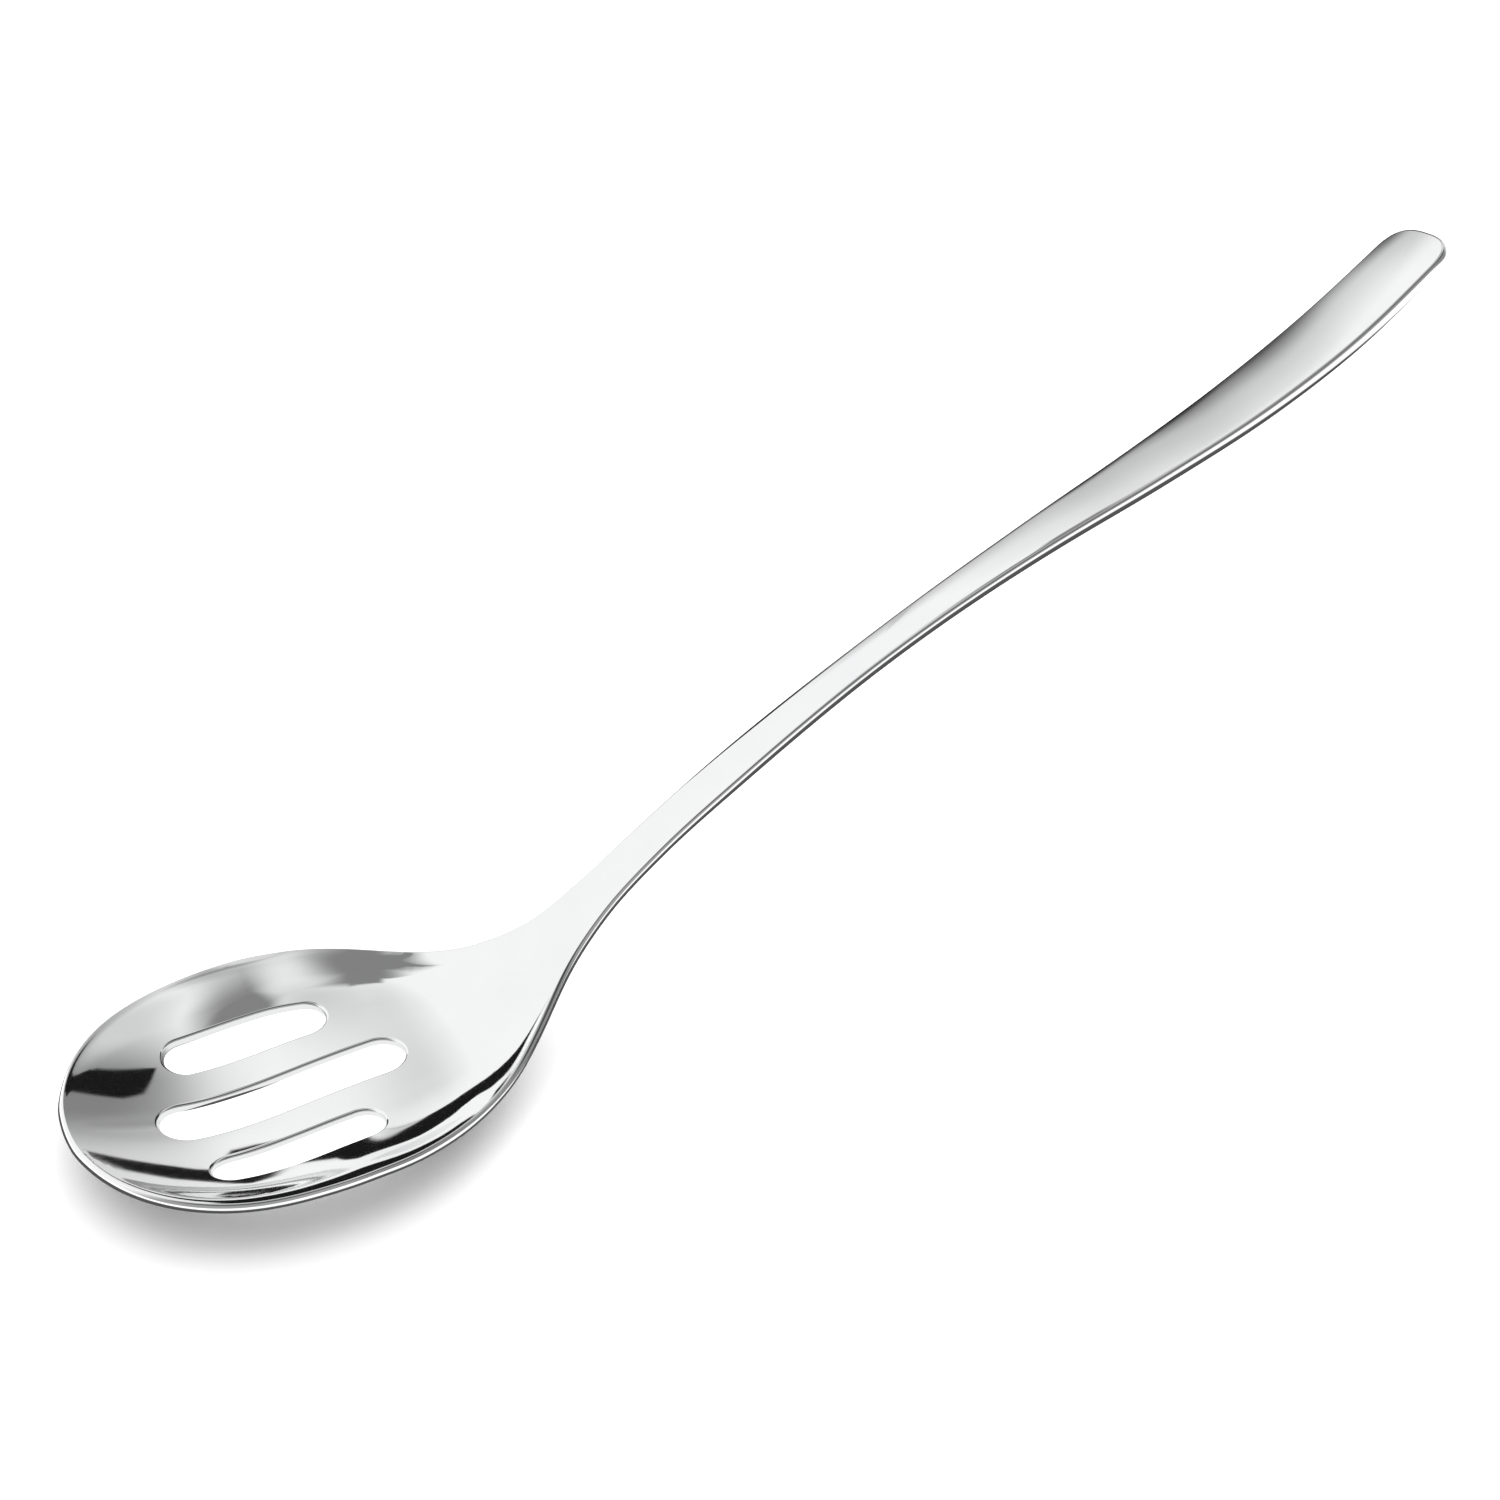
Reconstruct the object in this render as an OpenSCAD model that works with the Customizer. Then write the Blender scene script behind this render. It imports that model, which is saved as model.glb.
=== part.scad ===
// Slotted serving spoon in polished stainless steel, pressed from one blank.
// The bowl tip points along -X and the handle end along +X. Z is up and the bowl rim is level.
// The origin is on the table, under the middle of the length, where the underside of the bowl touches.

/* [Overall] */

// Length along the table, from the bowl tip to the end of the handle
spoon_length = 234; // [200:1:280]
// Height of the handle's end above the bowl's rim
handle_rise = 95.6; // [60:0.2:120]

/* [Bowl] */

// Width across the bowl's upper edge
bowl_width = 57.2; // [48:0.2:66]
// Distance from the tip to the widest place
widest_at = 33; // [28:0.5:38]
// Distance from the tip to where the shoulders have run into the handle
bowl_length = 80; // [72:0.5:90]
// Depth of the dish below the rim
bowl_depth = 5.7; // [4:0.1:9]
// Lift of the tip above the level part of the rim
tip_lift = 0.35; // [0:0.05:1.5]
// Dip of the rim just before the neck
rim_dip = 1.25; // [0:0.05:2.5]
// Thickness of the bowl's sheet
sheet = 1.4; // [1:0.05:2.2]
// Bulge of the rounded edge all round the spoon
edge_round = 0.2; // [0.05:0.05:0.4]

/* [Handle] */

// Width where the handle leaves the bowl
neck_width = 8; // [7:0.1:11]
// Width at the narrowest place
waist_width = 7.1; // [6:0.1:9]
// Width at the widest place, near the end
grip_width = 13.5; // [11:0.1:18]
// Width just before the rounded end
end_width = 12.7; // [10:0.1:17]
// Length over which the end is rounded off
end_round = 5; // [3:0.5:8]
// Thickness at the waist
handle_thickness = 1.9; // [1.6:0.05:3]
// Thickness at the end
end_thickness = 2.3; // [1.8:0.05:3.4]
// Height of the crown along the middle of the handle's upper face
handle_crown = 0.25; // [0:0.05:0.6]

/* [Slots] */

// Width of the middle slot
slot_width = 8.1; // [6.5:0.1:9]
// Distance from the tip to the near end of the middle slot
slot_start = 12.1; // [10:0.1:16]
// Distance from the tip to the far end of the middle slot
slot_end = 49; // [42:0.1:52]
// Distance from the tip to the near end of each side slot
side_start = 16.2; // [13:0.1:19]
// Distance from the tip to the far end of each side slot
side_end = 41.1; // [36:0.1:44]
// Distance from the middle line to the centre of a side slot's end
side_offset = 13.9; // [12.5:0.1:15]
// Radius of the side slots' ends
side_radius = 3.4; // [3:0.1:4.2]
// Extra width that the outer edge of a side slot bows out
side_bow = 0.7; // [0.5:0.1:2]

/* [Hidden] */

steel_colour = [0.80, 0.81, 0.82];

// How the sections are spaced
nose_steps = 14;
shoulder_steps = 18;
handle_steps = 24;
half_steps = 12;
end_step_shares = [0.3, 0.52, 0.7, 0.84, 0.94, 0.99];
nose_start_share = 0.3;

// Shape of the bowl's outline and hollow
nose_power = 2.5;
end_power = 3;

half_width = bowl_width / 2;
neck_half = neck_width / 2;
waist_half = waist_width / 2;
grip_half = grip_width / 2;
end_half = end_width / 2;
shoulder = bowl_length - widest_at;
handle_length = spoon_length - bowl_length;
probe = spoon_length / 5000;
side_probe_share = 0.01;

// Shoulders: places along them, and how far the width has fallen towards the neck there
shoulder_at_share = [0, 0.19, 0.36, 0.53, 0.7, 0.85, 1];
shoulder_fall_share = [0, 0.055, 0.19, 0.405, 0.67, 0.88, 0.97];
// Handle: places along it, from the shoulders' end to the rounded end
grip_at_share = [0.065, 0.156, 0.325, 0.455, 0.65, 0.78, 0.87, 1];
grip_width_list = [
    neck_half,
    mix(neck_half, waist_half, 0.22),
    waist_half,
    mix(waist_half, grip_half, 0.13),
    mix(waist_half, grip_half, 0.6),
    mix(waist_half, grip_half, 0.905),
    grip_half,
    end_half
];
width_at = concat(
    [for (s = shoulder_at_share) widest_at + s * shoulder],
    [for (s = grip_at_share) bowl_length + s * handle_length]
);
width_of = concat(
    [for (s = shoulder_fall_share) mix(half_width, neck_half, s)],
    grip_width_list
);

// Height of the edge: level round the bowl, then the rise of the handle
rim_at_share = [0, 0.034, 0.068, 0.145, 0.197, 0.235, 0.265];
rim_height_list = [
    tip_lift,
    tip_lift,
    0,
    0,
    -0.56 * rim_dip,
    -rim_dip,
    -0.16 * rim_dip
];
rise_at_share = [0.299, 0.342, 0.385, 0.444, 0.513, 0.598, 0.684, 0.769, 0.855, 0.923, 1];
rise_share = [0.05, 0.139, 0.218, 0.311, 0.408, 0.5125, 0.6035, 0.685, 0.777, 0.868, 1];
edge_at = concat(
    [for (s = rim_at_share) s * spoon_length],
    [for (s = rise_at_share) s * spoon_length]
);
edge_of = concat(
    rim_height_list,
    [for (s = rise_share) s * handle_rise]
);

// Hollow of the bowl along its middle line
dish_at_share = [0, 0.06, 0.125, 0.19, 0.25, 0.325, 0.425, 0.525, 0.61, 0.7, 0.8, 0.85, 0.9, 1, 1.1];
dish_share = [0, 0.39, 0.7, 0.915, 1, 1, 0.84, 0.62, 0.49, 0.39, 0.245, 0.155, 0.075, 0.01, 0];
dish_at = concat([for (s = dish_at_share) s * bowl_length], [spoon_length]);
dish_of = concat([for (s = dish_share) s * bowl_depth], [0]);

// Rise of the wall from the middle line to the rim: in the bowl, in its throat and in the neck
wall_at_share = [0, 0.2, 0.4, 0.55, 0.7, 0.76, 0.82, 0.88, 0.95, 1];
bowl_wall_share = [0, 0.035, 0.145, 0.285, 0.475, 0.565, 0.675, 0.8, 0.945, 1];
throat_wall_share = [0, 0, 0.01, 0.05, 0.19, 0.3, 0.44, 0.63, 0.87, 1];
neck_wall_share = [0, 0.01, 0.045, 0.12, 0.235, 0.285, 0.39, 0.55, 0.8, 1];
throat_from = 0.4 * bowl_length;
throat_full = 0.6 * bowl_length;
neck_from = 0.65 * bowl_length;
neck_full = 0.8 * bowl_length;

// Thickness along the spoon
thick_at_share = [0, 0.145, 0.32, 0.47, 0.6, 0.85, 1];
thick_at = [for (s = thick_at_share) s * spoon_length];
thick_of = [
    sheet,
    sheet,
    sheet,
    mix(sheet, handle_thickness, 0.8),
    handle_thickness,
    mix(handle_thickness, end_thickness, 0.75),
    end_thickness
];
crown_from = 0.9 * bowl_length;
crown_full = 1.15 * bowl_length;

// Slot cutters
cut_top = handle_rise;
cut_low = 2 * bowl_depth + 2 * sheet;
slot_radius = slot_width / 2;
side_mid = (side_start + side_end) / 2;
side_half = (side_end - side_start) / 2 - side_radius;
bow_peak = side_offset + side_bow;
bow_y = (bow_peak * bow_peak - side_offset * side_offset - side_half * side_half) / (2 * side_bow);
bow_radius = bow_peak + side_radius - bow_y;
bow_reach = bow_radius / (side_offset - bow_y);
inner_y = side_offset - side_radius;
slot_facets = 72;
bow_facets = 180;

// Places of the sections
nose_list = [
    for (k = [0 : nose_steps - 1])
        widest_at * (1 - cos(90 * (k + nose_start_share) / nose_steps))
];
shoulder_list = [
    for (k = [0 : shoulder_steps - 1])
        widest_at + k * shoulder / shoulder_steps
];
handle_list = [
    for (k = [0 : handle_steps])
        bowl_length + k * (handle_length - end_round) / handle_steps
];
end_list = [for (s = end_step_shares) spoon_length - end_round * (1 - s)];
section_list = concat(nose_list, shoulder_list, handle_list, end_list);
section_count = len(section_list);
ring_points = 4 * half_steps + 4;

function mix(a, b, t) = a + (b - a) * t;
function span(xs, x, i = 0) = (i >= len(xs) - 2 || x < xs[i + 1]) ? i : span(xs, x, i + 1);
function chord(xs, ys, i) = (ys[i + 1] - ys[i]) / (xs[i + 1] - xs[i]);
function gap(xs, i) = xs[i + 1] - xs[i];
function inner_slope(xs, ys, i) =
    (chord(xs, ys, i - 1) * gap(xs, i) + chord(xs, ys, i) * gap(xs, i - 1))
    / (gap(xs, i) + gap(xs, i - 1));
function knot_slope(xs, ys, i) =
    i == 0 ? chord(xs, ys, 0)
    : i == len(xs) - 1 ? chord(xs, ys, i - 1)
    : inner_slope(xs, ys, i);
function hermite(a, b, ma, mb, h, t) =
    (2 * t * t * t - 3 * t * t + 1) * a
    + (t * t * t - 2 * t * t + t) * h * ma
    + (3 * t * t - 2 * t * t * t) * b
    + (t * t * t - t * t) * h * mb;
function in_span(xs, ys, x, i) =
    hermite(
        ys[i],
        ys[i + 1],
        knot_slope(xs, ys, i),
        knot_slope(xs, ys, i + 1),
        gap(xs, i),
        (x - xs[i]) / gap(xs, i)
    );
function spline(xs, ys, x) = in_span(xs, ys, x, span(xs, x));
function clamp01(t) = min(1, max(0, t));
function ease(t) = t * t * (3 - 2 * t);

// Half width, heights and slopes of the upper face, and the two faces, at a place
function nose_half(x) = half_width * sqrt(1 - pow(1 - x / widest_at, nose_power));
function end_factor(x) =
    pow(1 - pow(clamp01((x - spoon_length + end_round) / end_round), end_power), 1 / end_power);
function half_at(x) =
    x < widest_at ? nose_half(x) : spline(width_at, width_of, x) * end_factor(x);
function edge_z(x) = spline(edge_at, edge_of, x);
function dish_z(x) = spline(dish_at, dish_of, x);
function blend_share(x, from, full) = ease(clamp01((x - from) / (full - from)));
function crown_z(x) = handle_crown * blend_share(x, crown_from, crown_full);
function wall_rise(x, v) =
    let (bowl = spline(wall_at_share, bowl_wall_share, v))
    let (throat = spline(wall_at_share, throat_wall_share, v))
    let (neck = spline(wall_at_share, neck_wall_share, v))
    let (throat_share = blend_share(x, throat_from, throat_full))
    mix(mix(bowl, throat, throat_share), neck, blend_share(x, neck_from, neck_full));
function height_at(x, v) = edge_z(x) - dish_z(x) * (1 - wall_rise(x, v)) + crown_z(x) * (1 - v * v);
function top_z(x, u) = height_at(x, abs(u) * end_factor(x));
function slope_x(x, u) = (top_z(x + probe, u) - top_z(x - probe, u)) / (2 * probe);
function slope_y(x, u) =
    (top_z(x, u + side_probe_share) - top_z(x, u - side_probe_share))
    / (2 * side_probe_share * half_at(x));
function slope_along(x, u) = slope_x(x, u) - slope_y(x, u) * u * fall_x(x);
function fall_x(x) =
    (x < widest_at || x > spoon_length - end_round) ? 0
    : (half_at(x + probe) - half_at(x - probe)) / (2 * probe);
function upright(x, u) = sqrt(1 + pow(slope_along(x, u), 2) + pow(slope_y(x, u), 2));
function upper(x, u) = [x, u * half_at(x), top_z(x, u)];
function lower(x, u) =
    upper(x, u)
    + spline(thick_at, thick_of, x) / upright(x, u) * [slope_along(x, u), slope_y(x, u), -1];
function edge_mid(x, u) = (upper(x, u) + lower(x, u)) / 2 + [0, u * edge_round, 0];
function ring(x) = concat(
    [for (k = [-half_steps : half_steps]) upper(x, k / half_steps)],
    [edge_mid(x, 1)],
    [for (k = [-half_steps : half_steps]) lower(x, -k / half_steps)],
    [edge_mid(x, -1)]
);

// The length is centred over the origin, and the lowest place, the lower lip of the middle slot,
// sits on the table
skin_points = [for (x = section_list) each ring(x)];
lip_points = [
    for (x = section_list)
        if (x > slot_start && x < slot_end)
            lower(x, slot_radius / half_at(x))
];
table_level = -min([for (p = lip_points) p[2]]);
middle_x = (min([for (p = skin_points) p[0]]) + max([for (p = skin_points) p[0]])) / 2;

module blank() {
    sides = [
        for (i = [0 : section_count - 2], k = [0 : ring_points - 1])
            let (a = i * ring_points + k)
            let (b = i * ring_points + (k + 1) % ring_points)
            each [[a, b, b + ring_points], [a, b + ring_points, a + ring_points]]
    ];
    first_cap = [[for (k = [ring_points - 1 : -1 : 0]) k]];
    last_cap = [[for (k = [0 : ring_points - 1]) (section_count - 1) * ring_points + k]];
    polyhedron(skin_points, concat(sides, first_cap, last_cap), convexity = 6);
}

module middle_slot() {
    translate([slot_start + slot_radius, 0])
        circle(slot_radius, $fn = slot_facets);
    translate([slot_end - slot_radius, 0])
        circle(slot_radius, $fn = slot_facets);
    translate([slot_start + slot_radius, -slot_radius])
        square([slot_end - slot_start - slot_width, slot_width]);
}

module side_slot() {
    for (s = [-1, 1])
        translate([side_mid + s * side_half, side_offset])
            circle(side_radius, $fn = slot_facets);
    intersection() {
        translate([side_mid, bow_y])
            circle(bow_radius, $fn = bow_facets);
        polygon([
            [side_mid - side_half, inner_y],
            [side_mid + side_half, inner_y],
            [side_mid + side_half, side_offset],
            [side_mid + side_half * bow_reach, bow_peak + side_radius],
            [side_mid - side_half * bow_reach, bow_peak + side_radius],
            [side_mid - side_half, side_offset]
        ]);
    }
}

// The blank with its three slots, set down on the table
module spoon() {
    color(steel_colour)
        translate([-middle_x, 0, table_level])
            difference() {
                blank();
                translate([0, 0, -cut_low])
                    linear_extrude(cut_low + cut_top) {
                        middle_slot();
                        side_slot();
                        mirror([0, 1])
                            side_slot();
                    }
            }
}

spoon();
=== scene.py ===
import math

import bpy
import numpy as np
from mathutils import Matrix, Vector
from mathutils.geometry import delaunay_2d_cdt


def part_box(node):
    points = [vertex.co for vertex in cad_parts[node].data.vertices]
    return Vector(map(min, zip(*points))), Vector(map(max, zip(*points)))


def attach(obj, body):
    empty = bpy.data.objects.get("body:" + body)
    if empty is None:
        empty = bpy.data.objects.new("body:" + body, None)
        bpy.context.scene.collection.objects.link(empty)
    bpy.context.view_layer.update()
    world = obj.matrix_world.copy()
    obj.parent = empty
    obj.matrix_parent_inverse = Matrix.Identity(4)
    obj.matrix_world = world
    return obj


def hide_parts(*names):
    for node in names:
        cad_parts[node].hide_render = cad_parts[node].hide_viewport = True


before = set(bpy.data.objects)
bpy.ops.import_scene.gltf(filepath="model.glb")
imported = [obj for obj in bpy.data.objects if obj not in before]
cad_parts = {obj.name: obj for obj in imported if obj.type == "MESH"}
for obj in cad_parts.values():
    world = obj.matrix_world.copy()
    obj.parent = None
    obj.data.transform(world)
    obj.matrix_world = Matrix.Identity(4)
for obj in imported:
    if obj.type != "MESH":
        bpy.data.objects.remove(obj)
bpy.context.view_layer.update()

# Sizes of the spoon in millimetres, the same as in the part's source
SPOON_LENGTH = 234.0
HANDLE_RISE = 95.6
BOWL_WIDTH = 57.2
WIDEST_AT = 33.0
BOWL_LENGTH = 80.0
BOWL_DEPTH = 5.7
TIP_LIFT = 0.35
RIM_DIP = 1.25
SHEET = 1.4
EDGE_ROUND = 0.2
NECK_WIDTH = 8.0
WAIST_WIDTH = 7.1
GRIP_WIDTH = 13.5
END_WIDTH = 12.7
END_ROUND = 5.0
HANDLE_THICKNESS = 1.9
END_THICKNESS = 2.3
HANDLE_CROWN = 0.25
SLOT_WIDTH = 8.1
SLOT_START = 12.1
SLOT_END = 49.0
SIDE_START = 16.2
SIDE_END = 41.1
SIDE_OFFSET = 13.9
SIDE_RADIUS = 3.4
SIDE_BOW = 0.7
NOSE_POWER = 2.5
END_POWER = 3.0

HALF_WIDTH = BOWL_WIDTH / 2
NECK_HALF = NECK_WIDTH / 2
WAIST_HALF = WAIST_WIDTH / 2
GRIP_HALF = GRIP_WIDTH / 2
END_HALF = END_WIDTH / 2
SLOT_RADIUS = SLOT_WIDTH / 2
SHOULDER = BOWL_LENGTH - WIDEST_AT
HANDLE_LENGTH = SPOON_LENGTH - BOWL_LENGTH

MM = 0.001

# Finish that only the visual mesh has, in millimetres
RIM_RADIUS = 0.24
UNDER_RADIUS = 0.55
HANDLE_RADIUS = 0.5
LIP_RADIUS = 0.5
WALL_CROWN = 0.1
FULLER_FROM = 0.7 * BOWL_LENGTH
FULLER_FADE = 0.5 * BOWL_LENGTH

# Widths over which the curves are smoothed, in millimetres and, for the wall, as a share of the half width
WIDTH_BLUR = 1.5
EDGE_BLUR = 3.0
DISH_BLUR = 3.5
THICKNESS_BLUR = 4.0
WALL_BLUR_SHARE = 0.02
# The smoothing takes in this many widths to either side
BLUR_REACH = 4
# The nose keeps its own curve up to here, and the smoothed one takes over behind
NOSE_END = 8.0
NOSE_FADE = 8.0

# Round the slots the underside lies straight below the upper face
PLUMB_START = 4.0
PLUMB_START_FADE = 5.0
PLUMB_END = 62.0
PLUMB_END_FADE = 6.0
PLUMB_SIDE_SHARE = 0.95
PLUMB_SIDE_FADE_SHARE = 0.2
UNDERSIDE_PASSES = 5

# Fineness of the mesh, in millimetres and counts
STATION_STEP = 0.1
ACROSS_POINTS = 401
PROBE = 0.05
GRID = 0.9
GRID_ROW_SHARE = math.sqrt(0.75)
GRID_CLEARANCE_SHARE = 0.55
GRID_BATCH = 500
RING_INSETS = (0.35, 0.75, 1.25, 1.85)
NOSE_POINTS = 44
END_POINTS = 30
SIDE_STEP = 0.9
SLOT_POINTS = 30
ARC_POINTS = 26
ROUND_STEPS = 5
WALL_STEPS = 4
TINY = 1e-6
MERGE_UNDER = 1e-7


def mix(a, b, t):
    return a + (b - a) * t


def clamp01(t):
    return np.clip(t, 0.0, 1.0)


def ease(t):
    t = clamp01(t)
    return t * t * (3 - 2 * t)


# Half of the width, as in the part's source: places along the shoulders and the handle, and the values there
SHOULDER_AT_SHARES = (0, 0.19, 0.36, 0.53, 0.7, 0.85, 1)
SHOULDER_FALL_SHARES = (0, 0.055, 0.19, 0.405, 0.67, 0.88, 0.97)
GRIP_AT_SHARES = (0.065, 0.156, 0.325, 0.455, 0.65, 0.78, 0.87, 1)
WIDTH_PLACES = [WIDEST_AT + s * SHOULDER for s in SHOULDER_AT_SHARES]
WIDTH_PLACES += [BOWL_LENGTH + s * HANDLE_LENGTH for s in GRIP_AT_SHARES]
WIDTHS = [mix(HALF_WIDTH, NECK_HALF, s) for s in SHOULDER_FALL_SHARES]
WIDTHS += [
    NECK_HALF,
    mix(NECK_HALF, WAIST_HALF, 0.22),
    WAIST_HALF,
    mix(WAIST_HALF, GRIP_HALF, 0.13),
    mix(WAIST_HALF, GRIP_HALF, 0.6),
    mix(WAIST_HALF, GRIP_HALF, 0.905),
    GRIP_HALF,
    END_HALF,
]

# Height of the edge: level round the bowl, then the rise of the handle
EDGE_AT_SHARES = (0, 0.034, 0.068, 0.145, 0.197, 0.235, 0.265)
EDGE_AT_SHARES += (0.299, 0.342, 0.385, 0.444, 0.513, 0.598, 0.684, 0.769, 0.855, 0.923, 1)
RISE_SHARES = (0.05, 0.139, 0.218, 0.311, 0.408, 0.5125, 0.6035, 0.685, 0.777, 0.868, 1)
EDGE_PLACES = [s * SPOON_LENGTH for s in EDGE_AT_SHARES]
EDGES = [TIP_LIFT, TIP_LIFT, 0, 0, -0.56 * RIM_DIP, -RIM_DIP, -0.16 * RIM_DIP]
EDGES += [s * HANDLE_RISE for s in RISE_SHARES]

# Hollow of the bowl along its middle line
DISH_AT_SHARES = (0, 0.06, 0.125, 0.19, 0.25, 0.325, 0.425, 0.525, 0.61, 0.7, 0.8, 0.85, 0.9, 1, 1.1)
DISH_SHARES = (0, 0.39, 0.7, 0.915, 1, 1, 0.84, 0.62, 0.49, 0.39, 0.245, 0.155, 0.075, 0.01, 0)
DISH_PLACES = [s * BOWL_LENGTH for s in DISH_AT_SHARES] + [SPOON_LENGTH]
DISHES = [s * BOWL_DEPTH for s in DISH_SHARES] + [0]

# Thickness along the spoon
THICK_AT_SHARES = (0, 0.145, 0.32, 0.47, 0.6, 0.85, 1)
THICK_PLACES = [s * SPOON_LENGTH for s in THICK_AT_SHARES]
THICKNESSES = [
    SHEET,
    SHEET,
    SHEET,
    mix(SHEET, HANDLE_THICKNESS, 0.8),
    HANDLE_THICKNESS,
    mix(HANDLE_THICKNESS, END_THICKNESS, 0.75),
    END_THICKNESS,
]

# Crown of the handle's upper face
CROWN_FROM = 0.9 * BOWL_LENGTH
CROWN_FADE = 0.25 * BOWL_LENGTH

# How far the wall has risen from the middle line (0) to the rim (1): in the bowl, its throat and the neck
WALL_AT_SHARES = (0, 0.2, 0.4, 0.55, 0.7, 0.76, 0.82, 0.88, 0.95, 1)
BOWL_WALL_SHARES = (0, 0.035, 0.145, 0.285, 0.475, 0.565, 0.675, 0.8, 0.945, 1)
THROAT_WALL_SHARES = (0, 0, 0.01, 0.05, 0.19, 0.3, 0.44, 0.63, 0.87, 1)
NECK_WALL_SHARES = (0, 0.01, 0.045, 0.12, 0.235, 0.285, 0.39, 0.55, 0.8, 1)
THROAT_FROM = 0.4 * BOWL_LENGTH
THROAT_FULL = 0.6 * BOWL_LENGTH
NECK_FROM = 0.65 * BOWL_LENGTH
NECK_FULL = 0.8 * BOWL_LENGTH

STATIONS = np.arange(0, SPOON_LENGTH + STATION_STEP / 2, STATION_STEP)
ACROSS_SHARES = np.linspace(0, 1, ACROSS_POINTS)


def smooth_curve(places, values, stations):
    """Values at the stations, on the smooth curve through the given places."""
    xs = np.array(places, float)
    ys = np.array(values, float)
    gaps = np.diff(xs)
    chords = np.diff(ys) / gaps
    slopes = np.empty(len(xs))
    slopes[0] = chords[0]
    slopes[-1] = chords[-1]
    slopes[1:-1] = (chords[:-1] * gaps[1:] + chords[1:] * gaps[:-1]) / (gaps[1:] + gaps[:-1])
    i = np.clip(np.searchsorted(xs, stations, side="right") - 1, 0, len(xs) - 2)
    h = gaps[i]
    t = (stations - xs[i]) / h
    start = (2 * t**3 - 3 * t**2 + 1) * ys[i] + (t**3 - 2 * t**2 + t) * h * slopes[i]
    end = (3 * t**2 - 2 * t**3) * ys[i + 1] + (t**3 - t**2) * h * slopes[i + 1]
    return start + end


def blurred(values, width, step=STATION_STEP):
    """The curve with its changes of curvature spread over the given width."""
    reach = int(BLUR_REACH * width / step)
    offsets = np.arange(-reach, reach + 1) * step
    kernel = np.exp(-0.5 * (offsets / width) ** 2)
    before = 2 * values[0] - values[reach:0:-1]
    after = 2 * values[-1] - values[-2:-reach - 2:-1]
    padded = np.concatenate([before, values, after])
    return np.convolve(padded, kernel / kernel.sum(), "valid")


def wall_curve(rise_shares):
    """The wall's rise over evenly spaced shares of the half width."""
    rise = smooth_curve(WALL_AT_SHARES, rise_shares, ACROSS_SHARES)
    return blurred(rise, WALL_BLUR_SHARE, ACROSS_SHARES[1])


def outline_widths():
    """Half of the spoon's width at each station."""
    nose = 1 - clamp01(1 - STATIONS / WIDEST_AT) ** NOSE_POWER
    widths = HALF_WIDTH * np.sqrt(nose)
    behind = STATIONS >= WIDEST_AT
    widths[behind] = smooth_curve(WIDTH_PLACES, WIDTHS, STATIONS)[behind]
    soft = blurred(widths, WIDTH_BLUR)
    return mix(widths, soft, ease((STATIONS - NOSE_END) / NOSE_FADE))


WIDTH_CURVE = outline_widths()
EDGE_CURVE = blurred(smooth_curve(EDGE_PLACES, EDGES, STATIONS), EDGE_BLUR)
CROWN_CURVE = HANDLE_CROWN * ease((STATIONS - CROWN_FROM) / CROWN_FADE)
DISH_CURVE = blurred(smooth_curve(DISH_PLACES, DISHES, STATIONS), DISH_BLUR)
THICKNESS_CURVE = blurred(smooth_curve(THICK_PLACES, THICKNESSES, STATIONS), THICKNESS_BLUR)
THROAT_CURVE = ease((STATIONS - THROAT_FROM) / (THROAT_FULL - THROAT_FROM))
NECK_CURVE = ease((STATIONS - NECK_FROM) / (NECK_FULL - NECK_FROM))
BOWL_WALL = wall_curve(BOWL_WALL_SHARES)
THROAT_WALL = wall_curve(THROAT_WALL_SHARES)
NECK_WALL = wall_curve(NECK_WALL_SHARES)


def blade_half(x):
    """Half of the spoon's width at a distance from the tip, before the end is rounded off."""
    x = np.asarray(x, float)
    nose = HALF_WIDTH * np.sqrt(1 - clamp01(1 - x / WIDEST_AT) ** NOSE_POWER)
    return np.where(x < NOSE_END, nose, np.interp(x, STATIONS, WIDTH_CURVE))


def half_at(x):
    """Half of the spoon's width at a distance from the tip."""
    end = clamp01((np.asarray(x, float) - SPOON_LENGTH + END_ROUND) / END_ROUND)
    return blade_half(x) * (1 - end**END_POWER) ** (1 / END_POWER)


def top_z(x, y):
    """Height of the upper face over the bowl's rim at its widest place."""
    u = clamp01(np.abs(y) / np.maximum(blade_half(x), TINY))
    rise = np.interp(u, ACROSS_SHARES, BOWL_WALL)
    rise = mix(rise, np.interp(u, ACROSS_SHARES, THROAT_WALL), np.interp(x, STATIONS, THROAT_CURVE))
    rise = mix(rise, np.interp(u, ACROSS_SHARES, NECK_WALL), np.interp(x, STATIONS, NECK_CURVE))
    dish = np.interp(x, STATIONS, DISH_CURVE) * (1 - rise)
    crown = np.interp(x, STATIONS, CROWN_CURVE) * (1 - u**2)
    return np.interp(x, STATIONS, EDGE_CURVE) - dish + crown


def top_points(plan):
    return np.column_stack([plan, top_z(plan[:, 0], plan[:, 1])])


def top_normals(plan):
    """Normals of the upper face, from slopes measured a little towards the middle line."""
    x = np.clip(plan[:, 0], 3 * PROBE, SPOON_LENGTH - 3 * PROBE)
    reach = np.maximum(np.minimum(half_at(x - 2 * PROBE), half_at(x + 2 * PROBE)) - PROBE, 0)
    y = np.clip(plan[:, 1], -reach, reach)
    slope_x = (top_z(x + PROBE, y) - top_z(x - PROBE, y)) / (2 * PROBE)
    slope_y = (top_z(x, y + PROBE) - top_z(x, y - PROBE)) / (2 * PROBE)
    return unit(np.column_stack([-slope_x, -slope_y, np.ones_like(x)]))


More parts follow.
